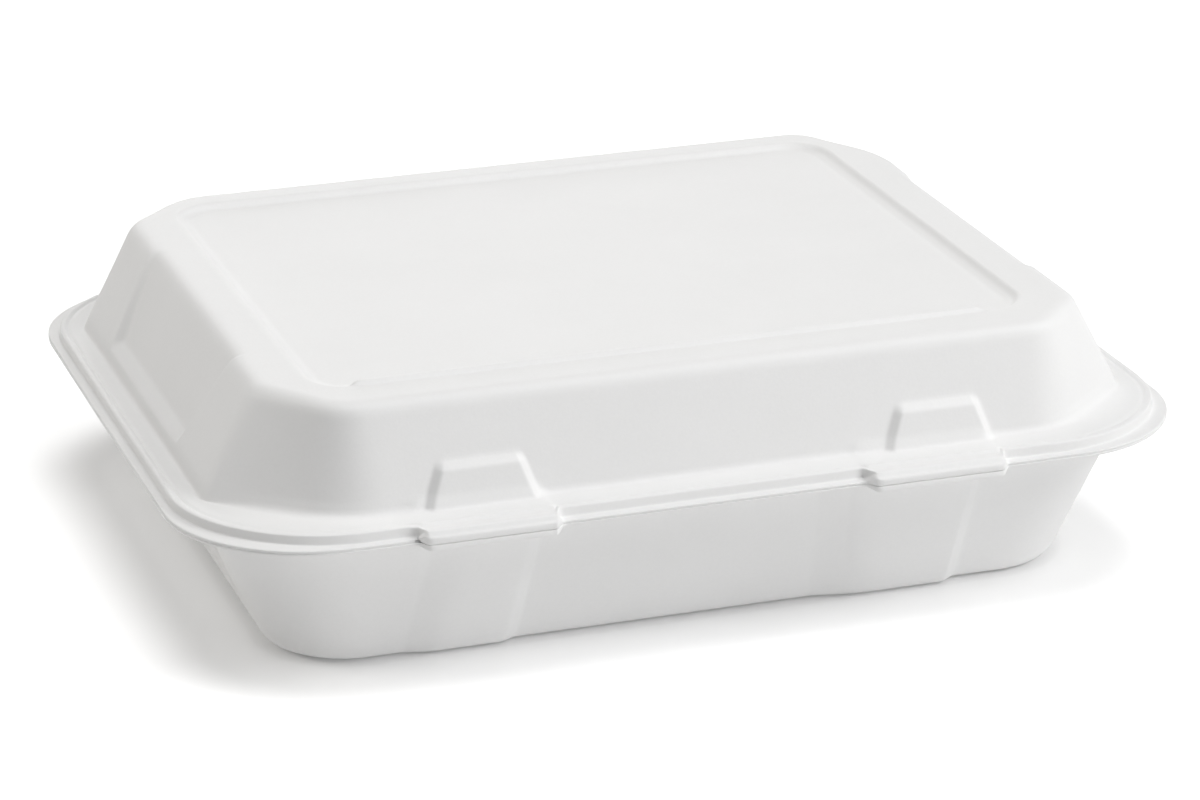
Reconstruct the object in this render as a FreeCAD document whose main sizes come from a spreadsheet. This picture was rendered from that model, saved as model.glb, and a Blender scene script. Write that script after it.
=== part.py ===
import FreeCAD, Part
import os

# Hinged takeout container: one sheet of moulded plant-fibre pulp, closed.
# The base tray and the lid are two shells of even wall, joined along the back
# of their rims by a crease that the lid turns on. X runs along the hinge, -Y is
# the side with the two latches, +Z is up, and the origin lies on the ground
# under the middle of the rim.

# ---------------------------------------------------------------- sizes (mm)

SIZES = {
    # the rim that both shells share
    "length": 235.0,
    "depth": 184.0,
    "corner_radius": 34.0,
    "wall": 0.7,
    "lip": 2.1,
    "step_rise": 2.25,
    "seat_gap": 0.35,
    # base tray
    "tray_height": 35.8,
    "mouth_end": 9.0,
    "mouth_front": 9.0,
    "mouth_back": 7.5,
    "mouth_radius": 26.0,
    "floor_end": 24.0,
    "floor_front": 22.0,
    "floor_back": 17.0,
    "floor_radius": 21.0,
    "floor_edge": 5.0,
    # lid
    "lid_height": 26.5,
    "dome_end": 8.6,
    "dome_front": 11.0,
    "dome_back": 7.5,
    "dome_facet": 23.0,
    "top_end": 21.0,
    "top_front": 16.2,
    "top_back": 11.5,
    "top_facet": 15.5,
    "facet_round": 7.0,
    "top_edge": 4.5,
    "panel_margin": 12.5,
    "panel_radius": 11.0,
    "panel_sink": 1.5,
    # the hollow in each end of both shells
    "hollow_sill": 5.0,
    "hollow_low": 30.0,
    "hollow_high": 40.0,
    "hollow_foot": 3.0,
    "hollow_brow": 1.4,
    "hollow_centre": 2.3,
    "tray_hollow": 2.0,
    # latches
    "latch_left": 54.0,
    "latch_right": 49.5,
    "tab_width": 31.0,
    "tab_reach": 2.6,
    "tab_round": 3.0,
    "tab_height": 1.9,
    "catch_drop": 1.9,
    "boss_left": 52.2,
    "boss_right": 54.0,
    "boss_low": 27.6,
    "boss_high": 19.4,
    "boss_height": 12.9,
    "boss_reach": 1.5,
    "boss_brow": 1.2,
    "pier_left": 25.0,
    "pier_right": 32.0,
    "pier_reach": 1.3,
}


EIGHTH = 0.7853981633974483
TAN_EIGHTH = 0.41421356237309503
SLANT = 0.7071067811865476


class Size:
    """A length with its number now and the expression that keeps it tied to the sheet."""

    def __init__(self, number, text):
        self.number = number
        self.text = text

    def _join(self, other, sign):
        if not isinstance(other, Size):
            other = Size(float(other), f"{float(other)} mm" if sign in "+-" else f"{float(other)}")
        number = {
            "+": self.number + other.number,
            "-": self.number - other.number,
            "*": self.number * other.number,
        }[sign]
        return Size(number, f"({self.text} {sign} {other.text})")

    def __add__(self, other):
        return self._join(other, "+")

    def __sub__(self, other):
        return self._join(other, "-")

    def __mul__(self, other):
        return self._join(other, "*")


def size(name):
    """The named size of the sheet."""
    return Size(SIZES[name], f"Sizes.{name} * 1 mm")


def make_sheet(doc):
    """The spreadsheet of driving sizes, one row each."""
    sheet = doc.addObject("Spreadsheet::Sheet", "Sizes")
    for row, (name, value) in enumerate(SIZES.items(), start=1):
        sheet.set(f"A{row}", name)
        sheet.set(f"B{row}", str(value))
        sheet.setAlias(f"B{row}", name)
    doc.recompute()
    return sheet


# ------------------------------------------------------------------ sketches


def new_sketch(body, name, height):
    """A sketch on the body's XY plane, lifted to the given height."""
    plane = [f for f in body.Origin.OriginFeatures if f.Role == "XY_Plane"][0]
    sketch = body.newObject("Sketcher::SketchObject", name)
    sketch.AttachmentSupport = [(plane, "")]
    sketch.MapMode = "FlatFace"
    sketch.AttachmentOffset = FreeCAD.Placement(
        FreeCAD.Vector(0, 0, height.number), FreeCAD.Rotation()
    )
    sketch.setExpression("AttachmentOffset.Base.z", height.text)
    return sketch


def measure(sketch, kind, places, length):
    """A named dimension of the sketch, bound to a size."""
    import Sketcher

    index = sketch.addConstraint(Sketcher.Constraint(kind, *places, length.number))
    sketch.setExpression(f"Constraints[{index}]", length.text)


def line_loop(sketch, corners):
    """A closed loop of straight lines through the corners."""
    import Sketcher

    points = [FreeCAD.Vector(x, y, 0) for x, y in corners]
    count = len(points)
    for i in range(count):
        sketch.addGeometry(Part.LineSegment(points[i], points[(i + 1) % count]), False)
    for i in range(count):
        sketch.addConstraint(Sketcher.Constraint("Coincident", i, 2, (i + 1) % count, 1))


def rectangle(body, name, left, right, front, back, height):
    """A plain rectangle: left and front are measured towards -X and -Y."""
    import Sketcher

    sketch = new_sketch(body, name, height)
    x0, x1 = -left.number, right.number
    y0, y1 = -front.number, back.number
    line_loop(sketch, [(x0, y0), (x1, y0), (x1, y1), (x0, y1)])
    for line in (0, 2):
        sketch.addConstraint(Sketcher.Constraint("Horizontal", line))
    for line in (1, 3):
        sketch.addConstraint(Sketcher.Constraint("Vertical", line))
    measure(sketch, "DistanceX", (0, 1, -1, 1), left)
    measure(sketch, "DistanceX", (-1, 1, 1, 1), right)
    measure(sketch, "DistanceY", (0, 1, -1, 1), front)
    measure(sketch, "DistanceY", (-1, 1, 2, 1), back)
    return sketch


def rounded_rectangle(body, name, half, front, back, radius, height):
    """A rectangle with four equal round corners, even about the YZ plane."""
    import Sketcher

    sketch = new_sketch(body, name, height)
    x, y0, y1, r = half.number, -front.number, back.number, radius.number
    up = FreeCAD.Vector(0, 0, 1)
    spans = [
        ((-x + r, y0), (x - r, y0)),
        ((x, y0 + r), (x, y1 - r)),
        ((x - r, y1), (-x + r, y1)),
        ((-x, y1 - r), (-x, y0 + r)),
    ]
    centres = [(x - r, y0 + r, 270), (x - r, y1 - r, 0), (-x + r, y1 - r, 90), (-x + r, y0 + r, 180)]
    for (ax, ay), (bx, by) in spans:
        sketch.addGeometry(
            Part.LineSegment(FreeCAD.Vector(ax, ay, 0), FreeCAD.Vector(bx, by, 0)), False
        )
    quarter = EIGHTH * 2
    for cx, cy, start in centres:
        circle = Part.Circle(FreeCAD.Vector(cx, cy, 0), up, r)
        begin = start / 90 * quarter
        sketch.addGeometry(Part.ArcOfCircle(circle, begin, begin + quarter), False)
    for i in range(4):
        sketch.addConstraint(Sketcher.Constraint("Tangent", i, 2, 4 + i, 1))
        sketch.addConstraint(Sketcher.Constraint("Tangent", 4 + i, 2, (i + 1) % 4, 1))
    for line in (0, 2):
        sketch.addConstraint(Sketcher.Constraint("Horizontal", line))
    for line in (1, 3):
        sketch.addConstraint(Sketcher.Constraint("Vertical", line))
    for arc in (5, 6, 7):
        sketch.addConstraint(Sketcher.Constraint("Equal", 4, arc))
    measure(sketch, "Radius", (4,), radius)
    measure(sketch, "DistanceX", (3, 1, -1, 1), half)
    measure(sketch, "DistanceX", (-1, 1, 1, 1), half)
    measure(sketch, "DistanceY", (0, 1, -1, 1), front)
    measure(sketch, "DistanceY", (-1, 1, 2, 1), back)
    return sketch


def faceted_rectangle(body, name, half, front, back, facet, turn, height):
    """A rectangle with its corners cut at 45 degrees, each corner left turned at a small radius."""
    import Sketcher

    sketch = new_sketch(body, name, height)
    x, y0, y1, c, r = half.number, -front.number, back.number, facet.number, turn.number
    corners = [
        (-x + c, y0), (x - c, y0), (x, y0 + c), (x, y1 - c),
        (x - c, y1), (-x + c, y1), (-x, y1 - c), (-x, y0 + c),
    ]
    points = [FreeCAD.Vector(px, py, 0) for px, py in corners]
    trim = r * TAN_EIGHTH
    for i in range(8):
        start, end = points[i], points[(i + 1) % 8]
        along = (end - start).normalize() * trim
        sketch.addGeometry(Part.LineSegment(start + along, end - along), False)
    for i in range(8):
        corner = points[(i + 1) % 8]
        before = (corner - points[i]).normalize()
        inward = FreeCAD.Vector(-before.y, before.x, 0)
        centre = corner - before * trim + inward * r
        begin = (i - 2) * EIGHTH
        circle = Part.Circle(centre, FreeCAD.Vector(0, 0, 1), r)
        sketch.addGeometry(Part.ArcOfCircle(circle, begin, begin + EIGHTH), False)
    for i in range(8):
        sketch.addConstraint(Sketcher.Constraint("Tangent", i, 2, 8 + i, 1))
        sketch.addConstraint(Sketcher.Constraint("Tangent", 8 + i, 2, (i + 1) % 8, 1))
    for line in (0, 4):
        sketch.addConstraint(Sketcher.Constraint("Horizontal", line))
    for line in (2, 6):
        sketch.addConstraint(Sketcher.Constraint("Vertical", line))
    for line, turns in ((1, 1), (3, 3), (5, -3), (7, -1)):
        sketch.addConstraint(Sketcher.Constraint("Angle", line, turns * EIGHTH))
    for arc in range(9, 16):
        sketch.addConstraint(Sketcher.Constraint("Equal", 8, arc))
    measure(sketch, "Radius", (8,), turn)
    measure(sketch, "DistanceX", (6, 1, -1, 1), half)
    measure(sketch, "DistanceX", (-1, 1, 2, 1), half)
    measure(sketch, "DistanceY", (0, 1, -1, 1), front)
    measure(sketch, "DistanceY", (-1, 1, 4, 1), back)
    for line, reach in ((1, front), (3, back), (5, back), (7, front)):
        measure(sketch, "Distance", (-1, 1, line), (half + reach - facet) * SLANT)
    return sketch


# ------------------------------------------------------------------ features


def new_body(doc, name):
    """An empty body with its own name."""
    return doc.addObject("PartDesign::Body", name)


def pad(body, sketch, thickness, name):
    """The sketch raised by a thickness."""
    feature = body.newObject("PartDesign::Pad", name)
    feature.Profile = sketch
    feature.Length = thickness.number
    feature.setExpression("Length", thickness.text)
    sketch.Visibility = False
    return feature


def loft(body, low, high, name, kind="AdditiveLoft"):
    """Straight walls from one outline to another, added or cut away."""
    feature = body.newObject(f"PartDesign::{kind}", name)
    feature.Profile = high
    feature.Sections = [low]
    feature.Ruled = True
    body.Document.recompute()
    return feature


def fillet(body, base, edges, radius, name):
    """The chosen edges of a feature rounded."""
    feature = body.newObject("PartDesign::Fillet", name)
    feature.Base = (base, edges)
    feature.Radius = radius.number
    feature.setExpression("Radius", radius.text)
    body.Document.recompute()
    return feature


def edges_where(feature, test):
    """Names of the feature's edges whose two ends pass the test."""
    found = []
    for index, edge in enumerate(feature.Shape.Edges, start=1):
        ends = [vertex.Point for vertex in edge.Vertexes]
        if len(ends) == 2 and test(ends[0], ends[1]):
            found.append(f"Edge{index}")
    return found


def join(doc, name, shapes):
    """Several solids made one."""
    feature = doc.addObject("Part::MultiFuse", name)
    feature.Shapes = shapes
    feature.Refine = True
    return feature


def cut(doc, name, base, tool):
    """One solid less another."""
    feature = doc.addObject("Part::Cut", name)
    feature.Base = base
    feature.Tool = tool
    feature.Refine = True
    return feature


# ------------------------------------------------- outlines shared by shells

HALF_LENGTH = size("length") * 0.5
HALF_DEPTH = size("depth") * 0.5
WALL = size("wall")
NOTHING = size("wall") * 0.0


def latch_place(side):
    """How far towards +X one latch is centred: side is -1 for the left latch and 1 for the right."""
    return size("latch_left") * -1.0 if side < 0 else size("latch_right") * 1.0


def plate(doc, name, inset, low, thickness):
    """A flat plate with the rim's outline, drawn in by an inset."""
    body = new_body(doc, name)
    sketch = rounded_rectangle(
        body, name + "_outline", HALF_LENGTH - inset, HALF_DEPTH - inset,
        HALF_DEPTH - inset, size("corner_radius") - inset, low,
    )
    pad(body, sketch, thickness, name + "_pad")
    return body


def tab(doc, name, side, reach, narrowing, low, thickness):
    """The rim plate carried forward at one latch, with round front corners."""
    body = new_body(doc, name)
    centre = latch_place(side)
    half = (size("tab_width") - narrowing) * 0.5
    overlap = size("mouth_front") - size("lip") - size("wall")
    sketch = rectangle(
        body, name + "_outline", half - centre, half + centre,
        HALF_DEPTH + reach, overlap - HALF_DEPTH, low,
    )
    block = pad(body, sketch, thickness, name + "_pad")
    doc.recompute()
    front = -(HALF_DEPTH + reach).number + 0.01
    upright = edges_where(
        block, lambda a, b: a.y < front and b.y < front and abs(a.z - b.z) > 0.1
    )
    fillet(body, block, upright, size("tab_round"), name + "_corners")
    return body


def notch(doc, name, side, margin, low):
    """A block over one latch, wider than the tab by a margin each side, where the rim's step is lowered."""
    body = new_body(doc, name)
    centre = latch_place(side)
    half = size("tab_width") * 0.5 + margin
    sketch = rectangle(
        body, name + "_outline", half - centre, half + centre,
        HALF_DEPTH + size("tab_reach") + WALL, size("dome_front") + WALL - HALF_DEPTH, low,
    )
    pad(body, sketch, size("step_rise") + WALL, name + "_pad")
    return body


def end_hollow(body, side, grow, foot, brow, low_half, high_half, low, high, bottom_in, top_in, name):
    """A tapering cut in one end wall, from a sill up to a brow."""
    far = HALF_LENGTH
    centre = size("hollow_centre")
    spans = []
    for tag, half, inner, height in (
        ("low", low_half + grow, HALF_LENGTH - bottom_in - foot - grow, low),
        ("high", high_half + grow, HALF_LENGTH - top_in - brow - grow, high),
    ):
        left, right = (far, inner * -1.0) if side < 0 else (inner * -1.0, far)
        spans.append(
            rectangle(body, f"{name}_{tag}", left, right, half - centre, half + centre, height)
        )
    return loft(body, spans[0], spans[1], name, "SubtractiveLoft")


# ----------------------------------------------------------------- base tray


def tray_form(doc, name, skin):
    """The tray's solid form, drawn in by the skin: none for the outside, the wall for the inside."""
    body = new_body(doc, name)
    rim_top = size("tray_height") + size("step_rise") - size("seat_gap")
    high = rim_top + skin * 2.0
    floor = rounded_rectangle(
        body, name + "_floor", HALF_LENGTH - size("floor_end") - skin,
        HALF_DEPTH - size("floor_front") - skin, HALF_DEPTH - size("floor_back") - skin,
        size("floor_radius") - skin, skin,
    )
    mouth = rounded_rectangle(
        body, name + "_mouth", HALF_LENGTH - size("mouth_end") - skin,
        HALF_DEPTH - size("mouth_front") - skin, HALF_DEPTH - size("mouth_back") - skin,
        size("mouth_radius") - skin, high,
    )
    form = loft(body, floor, mouth, name + "_walls")
    ground = skin.number + 0.01
    ring = edges_where(form, lambda a, b: a.z < ground and b.z < ground)
    form = fillet(body, form, ring, size("floor_edge") - skin, name + "_edge")
    for side in (-1, 1):
        form = end_hollow(
            body, side, skin, size("tray_hollow"), size("tray_hollow"),
            size("hollow_low"), size("hollow_low"), size("hollow_sill"),
            size("tray_height") - size("hollow_sill"),
            size("floor_end"), size("mouth_end"), f"{name}_hollow{side + 1}",
        )
    return body


def pier(doc, name, side):
    """The shallow pier that stands out of the front wall under one latch."""
    body = new_body(doc, name)
    centre = latch_place(side)
    half = (size("pier_left") if side < 0 else size("pier_right")) * 0.5
    depth = size("floor_front") + size("floor_edge")
    sketches = []
    for tag, inset, height in (
        ("low", size("floor_front"), size("floor_edge") * 0.5),
        ("high", size("mouth_front"), size("tray_height")),
    ):
        sketches.append(
            rectangle(
                body, f"{name}_{tag}", half - centre, half + centre,
                HALF_DEPTH - inset + size("pier_reach"), depth - HALF_DEPTH, height,
            )
        )
    loft(body, sketches[0], sketches[1], name + "_face")
    return body


def boss(doc, name, side, skin, low, high):
    """The tapering boss of the lid over one latch, a shallow step out of the front wall."""
    body = new_body(doc, name)
    centre = size("boss_left") * -1.0 if side < 0 else size("boss_right") * 1.0
    inner = size("top_front") + size("top_edge")
    sketches = []
    for tag, width, inset, height in (
        ("low", size("boss_low"), size("dome_front") - size("boss_reach"), low),
        ("high", size("boss_high"), size("dome_front") + size("boss_brow"), high),
    ):
        half = width * 0.5 - skin
        sketches.append(
            rectangle(
                body, f"{name}_{tag}", half - centre, half + centre,
                HALF_DEPTH - inset - skin, inner - HALF_DEPTH, height,
            )
        )
    loft(body, sketches[0], sketches[1], name + "_block")
    return body


def make_tray(doc):
    """The base tray: floor, walls, rim with its seat, catch tabs and piers."""
    mate = size("tray_height")
    seat = size("step_rise") - size("seat_gap")
    shoulder = size("lip") + WALL + size("seat_gap")
    drop = size("catch_drop")
    reach = size("tab_reach")
    low_seat = mate + size("tab_height") - WALL - size("seat_gap")
    rim = [plate(doc, "tray_flange", NOTHING, mate - WALL, WALL)]
    rim.append(plate(doc, "tray_seat", shoulder, mate - WALL, seat + WALL))
    seat_under = plate(doc, "tray_under", shoulder + WALL, mate - WALL * 2.0, seat + WALL)
    blocks = [notch(doc, f"under_notch{side + 1}", side, WALL * 2.0 + size("seat_gap"), low_seat - WALL)
              for side in (-1, 1)]
    under = [cut(doc, "tray_under_cut", seat_under, join(doc, "under_notches", blocks))]
    for side in (-1, 1):
        tag = side + 1
        rim.append(tab(doc, f"catch{tag}", side, reach, NOTHING, mate - drop, drop))
        under.append(tab(doc, f"catch_under{tag}", side, reach - WALL, WALL * 2.0, mate - drop, drop - WALL))
    rims = cut(doc, "tray_rims", join(doc, "tray_rim", rim), join(doc, "tray_unders", under))
    outside = [rims, tray_form(doc, "tray_outside", NOTHING)]
    away = [tray_form(doc, "tray_inside", WALL)]
    for side in (-1, 1):
        outside.append(pier(doc, f"pier{side + 1}", side))
        away.append(notch(doc, f"seat_notch{side + 1}", side, WALL + size("seat_gap"), low_seat))
    tray = cut(doc, "base_tray", join(doc, "tray_full", outside), join(doc, "tray_away", away))
    tray.Label = "base_tray"
    return tray


# ----------------------------------------------------------------------- lid


def dome_form(doc, name, skin):
    """The lid's solid dome above its rim, drawn in by the skin."""
    body = new_body(doc, name)
    top = size("lid_height") - skin
    foot = faceted_rectangle(
        body, name + "_foot", HALF_LENGTH - size("dome_end") - skin,
        HALF_DEPTH - size("dome_front") - skin, HALF_DEPTH - size("dome_back") - skin,
        size("dome_facet"), size("facet_round") - skin, NOTHING,
    )
    crown = faceted_rectangle(
        body, name + "_crown", HALF_LENGTH - size("top_end") - skin,
        HALF_DEPTH - size("top_front") - skin, HALF_DEPTH - size("top_back") - skin,
        size("top_facet"), size("facet_round") - skin, top,
    )
    form = loft(body, foot, crown, name + "_walls")
    brim = top.number - 0.01
    ring = edges_where(form, lambda a, b: a.z > brim and b.z > brim)
    form = fillet(body, form, ring, size("top_edge") - skin, name + "_edge")
    margin = size("panel_margin") - skin
    panel = rounded_rectangle(
        body, name + "_panel", HALF_LENGTH - size("top_end") - margin,
        HALF_DEPTH - size("top_front") - margin, HALF_DEPTH - size("top_back") - margin,
        size("panel_radius") + skin, top,
    )
    sink = body.newObject("PartDesign::Pocket", name + "_sink")
    sink.Profile = panel
    sink.Length = SIZES["panel_sink"]
    sink.setExpression("Length", size("panel_sink").text)
    body.Document.recompute()
    if sink.Shape.Volume > form.Shape.Volume - 1:
        raise RuntimeError(name + ": the panel cuts nothing")
    for side in (-1, 1):
        form = end_hollow(
            body, side, skin, size("hollow_foot"), size("hollow_brow"),
            size("hollow_low"), size("hollow_high"), size("hollow_sill") - skin,
            top, size("dome_end"), size("top_end"),
            f"{name}_hollow{side + 1}",
        )
    return body


def make_lid(doc):
    """The lid: rim with its step, dome with panel and end hollows, latch tabs and bosses."""
    crest = size("step_rise") + WALL
    reach = size("tab_reach")
    top = size("boss_height")
    tab_top = size("tab_height")
    step = plate(doc, "lid_step", size("lip"), NOTHING, crest)
    step_under = plate(doc, "lid_under", size("lip") + WALL, NOTHING, size("step_rise"))
    over = [notch(doc, f"step_notch{side + 1}", side, NOTHING, tab_top) for side in (-1, 1)]
    below = [notch(doc, f"hollow_notch{side + 1}", side, WALL, tab_top - WALL) for side in (-1, 1)]
    outside = [plate(doc, "lid_flange", NOTHING, NOTHING, WALL)]
    outside.append(cut(doc, "lid_step_cut", step, join(doc, "step_notches", over)))
    outside.append(dome_form(doc, "dome_outside", NOTHING))
    inside = [cut(doc, "lid_under_cut", step_under, join(doc, "hollow_notches", below))]
    inside.append(dome_form(doc, "dome_inside", WALL))
    for side in (-1, 1):
        tag = side + 1
        outside.append(tab(doc, f"lid_tab{tag}", side, reach, NOTHING, NOTHING, tab_top))
        outside.append(boss(doc, f"boss{tag}", side, NOTHING, tab_top - WALL, top))
        inside.append(tab(doc, f"tab_under{tag}", side, reach - WALL, WALL * 2.0, NOTHING, tab_top - WALL))
        inside.append(boss(doc, f"boss_hollow{tag}", side, WALL, NOTHING, top - WALL))
    lid = cut(doc, "lid", join(doc, "lid_full", outside), join(doc, "lid_hollow", inside))
    lid.Label = "lid"
    lid.Placement = FreeCAD.Placement(
        FreeCAD.Vector(0, 0, SIZES["tray_height"]), FreeCAD.Rotation()
    )
    lid.setExpression("Placement.Base.z", size("tray_height").text)
    return lid


# --------------------------------------------------------------------- build


def main():
    """Builds the document, checks every object and writes one STEP file for each sub-part."""
    os.makedirs("parts", exist_ok=True)
    doc = FreeCAD.newDocument("takeout_container")
    make_sheet(doc)
    pieces = [make_tray(doc), make_lid(doc)]
    doc.recompute()
    for item in doc.Objects:
        if "Invalid" in item.State or "Error" in item.State:
            raise RuntimeError(f"{item.Name} failed: {item.State}")
    for piece in pieces:
        shape = piece.Shape
        if shape.isNull() or not shape.isValid():
            raise RuntimeError(f"{piece.Label} has no valid shape")
        print(piece.Label, "solids", len(shape.Solids), "volume", round(shape.Volume, 1))
        print("   box", shape.BoundBox)
    for piece in pieces:
        piece.Shape.exportStep(os.path.join("parts", piece.Label + ".step"))


main()
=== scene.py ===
import math

import bpy
import numpy as np
from mathutils import Matrix, Vector


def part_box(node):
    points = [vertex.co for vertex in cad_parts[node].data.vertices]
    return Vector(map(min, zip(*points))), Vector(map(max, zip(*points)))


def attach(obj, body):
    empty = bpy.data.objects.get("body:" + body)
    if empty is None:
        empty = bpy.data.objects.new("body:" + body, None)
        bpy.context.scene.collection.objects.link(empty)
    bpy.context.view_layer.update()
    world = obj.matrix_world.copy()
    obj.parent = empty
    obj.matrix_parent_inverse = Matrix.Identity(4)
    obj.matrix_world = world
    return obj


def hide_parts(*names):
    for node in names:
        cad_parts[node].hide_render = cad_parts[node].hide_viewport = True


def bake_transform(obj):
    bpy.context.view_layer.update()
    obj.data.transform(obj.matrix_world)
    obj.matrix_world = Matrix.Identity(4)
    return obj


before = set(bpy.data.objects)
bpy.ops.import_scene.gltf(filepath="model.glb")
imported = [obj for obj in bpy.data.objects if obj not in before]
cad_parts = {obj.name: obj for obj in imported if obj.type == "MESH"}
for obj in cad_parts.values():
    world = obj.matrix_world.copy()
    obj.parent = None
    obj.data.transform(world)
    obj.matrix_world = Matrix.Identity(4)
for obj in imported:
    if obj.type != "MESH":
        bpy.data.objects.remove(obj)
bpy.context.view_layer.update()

# Hinged takeout container of moulded plant-fibre pulp, closed. Base tray and lid
# are each one thin sheet pressed to shape: a chain of outlines, one for every
# change of slope from the rim to the middle, gives the outer face, and the other
# face lies one wall thickness away. Sizes are in millimetres until a mesh is made.

MM = 0.001
LID_LOW, LID_HIGH = (np.array(corner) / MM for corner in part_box("lid"))
HALF_LENGTH = LID_HIGH[0]
HALF_DEPTH = LID_HIGH[1]
MATE = LID_LOW[2]
CROWN = LID_HIGH[2] - MATE
WALL = 0.65
# how far the rounded edge of the lid's rim, and of the tray's, stands out
LID_TIP = 0.5 * WALL
TRAY_TIP = 0.4 * WALL
# points further forward than this belong to the front
FRONT_PART = -60.0

# ------------------------------------------------------------------ columns

FRONT_COLUMNS = 104
END_COLUMNS = 56
CORNER_COLUMNS = 24
CORNER_MIDDLE = CORNER_COLUMNS // 2
SIDE_COUNTS = (FRONT_COLUMNS, END_COLUMNS, FRONT_COLUMNS, END_COLUMNS)
BEND_POINTS = 13
# half of the stretch that the columns of the front, and of an end, are first spread over
FRONT_HALF = 83.5
END_HALF = 58.0
# points at which the spacing of columns is totalled
SPREAD_POINTS = 1600
TAN_EIGHTH = math.tan(math.radians(22.5))

# latches: centre and half width of each tab, and centre of the boss above it
TABS = ((-53.7, 15.2), (49.3, 15.9))
BOSSES = (-52.2, 54.0)
# a boss: half width at foot and head, height of both above the mating plane, how
# far it stands out, and the widths of its flanks and of the bevel at its top
BOSS_FOOT = 13.8
BOSS_HEAD = 9.7
BOSS_LOW = 1.55
BOSS_TOP = 12.9
BOSS_REACH = 1.35
BOSS_FLANK = 1.8
BOSS_BEVEL = 2.0
# a boss rises from this far in front of the wall's foot, over this stretch
BOSS_START = 3.6
BOSS_START_RUN = 2.5


def smooth(t):
    """0 below 0, 1 above 1, and t squared times (3 - 2t) between them."""
    t = np.clip(t, 0.0, 1.0)
    return t * t * (3.0 - 2.0 * t)


def ramp(t, soft=0.16):
    """0 below 0, 1 above 1 and t between them, with both bends rounded.

    The rise from t - soft to t + soft of the area under that plain ramp, over 2 soft.
    """
    high, low = t + soft, t - soft
    area_high = 0.5 * np.clip(high, 0.0, 1.0) ** 2 + np.maximum(high - 1.0, 0.0)
    area_low = 0.5 * np.clip(low, 0.0, 1.0) ** 2 + np.maximum(low - 1.0, 0.0)
    return (area_high - area_low) / (2.0 * soft)


def spread(low, high, count, bells):
    """Places from low to high, closer together near the centre of each bell.

    The spacing follows the running total of 1 plus, for each bell, its gain times
    exp(-(distance / width)^2).
    """
    fine = np.linspace(low, high, SPREAD_POINTS)
    density = np.ones_like(fine)
    for centre, width, gain in bells:
        density = density + gain * np.exp(-(((fine - centre) / width) ** 2))
    total = np.concatenate([[0.0], np.cumsum(0.5 * (density[1:] + density[:-1]))])
    return np.interp(np.linspace(0.0, total[-1], count + 1), total, fine)


# lines that columns follow: along the front the flanks of both bosses, and along the
# ends the flanks of the hollow, at the foot of the lid and then at its top
FOOT_LINES = ((-64.6, -39.8, 41.6, 66.4), (-30.2, 35.1))
HEAD_LINES = ((-56.1, -48.3, 50.1, 57.9), (-36.7, 40.6))
# the same for the piers of the tray, at its rim and then at its floor
PIER_RIM_LINES = ((-58.9, -39.5, 31.1, 63.6), (-37.8, 40.6))
PIER_FLOOR_LINES = ((-64.5, -43.3, 34.3, 61.7), (-33.8, 36.6))
# tab ends, where columns also stand closer
TAB_LINES = tuple(centre + way * half for centre, half in TABS for way in (-1, 1))
# centre, width and gain of each bell
FRONT_BELLS = [(x, 1.8, 10.0) for x in FOOT_LINES[0]] + [(x, 1.6, 6.0) for x in TAB_LINES]
END_BELLS = [(y, 2.2, 8.0) for y in FOOT_LINES[1]]
FRONT_BASE = spread(-FRONT_HALF, FRONT_HALF, FRONT_COLUMNS, FRONT_BELLS)
END_BASE = spread(-END_HALF, END_HALF, END_COLUMNS, END_BELLS)


def lines_at(share):
    """The lid's column lines at a share of the way from foot to head."""
    return tuple(
        tuple(a + (b - a) * share for a, b in zip(low, high)) for low, high in zip(FOOT_LINES, HEAD_LINES)
    )


def side_shares(side, start, end, lines):
    """Shares of the way along a side where its columns stand, without the last.

    Columns of the back stand evenly. On the others the foot's lines are carried to
    the given lines, and the columns between them in proportion.
    """
    if side == 2:
        return np.linspace(0.0, 1.0, FRONT_COLUMNS + 1)[:-1]
    base = FRONT_BASE if side == 0 else END_BASE
    low, high = min(start, end), max(start, end)
    wanted = np.clip(lines[side % 2], low + 1.0, high - 1.0)
    places = np.interp(base, [base[0], *FOOT_LINES[side % 2], base[-1]], [low, *wanted, high])
    if start > end:
        places = places[::-1]
    return ((places - start) / (end - start))[:-1]


def bend(start, peak, end):
    """Points on the curve (1-t)^2 start + 2t(1-t) peak + t^2 end."""
    t = np.linspace(0.0, 1.0, BEND_POINTS)[:, None]
    return (1 - t) ** 2 * start + 2 * t * (1 - t) * peak + t**2 * end


def corner_path(corner, into, out, leg_in, leg_out, trims):
    """One corner cut by a facet, with both ends of the facet rounded.

    The facet runs from leg_in before the corner to leg_out after it. Each end is
    a curve that begins and ends its own trim away. Points lie evenly along the path.
    """
    first = corner - into * leg_in
    second = corner + out * leg_out
    length = np.linalg.norm(second - first)
    along = (second - first) / length
    trim_in, trim_out = np.array(trims) * min(1.0, length / sum(trims))
    path = np.concatenate(
        [
            bend(first - into * trim_in, first, first + along * trim_in),
            bend(second - along * trim_out, second, second + out * trim_out),
        ]
    )
    steps = np.linalg.norm(np.diff(path, axis=0), axis=1)
    total = np.concatenate([[0.0], np.cumsum(steps)])
    places = np.linspace(0.0, total[-1], CORNER_COLUMNS + 1)
    return np.stack([np.interp(places, total, path[:, axis]) for axis in (0, 1)], axis=1)


def round_corners(radius):
    """Legs and trims that turn all four corners in arcs of one radius."""
    leg = radius * (2 - 2**0.5)
    trim = radius * TAN_EIGHTH
    return [(leg, leg)] * 4, [(trim, trim)] * 4


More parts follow.
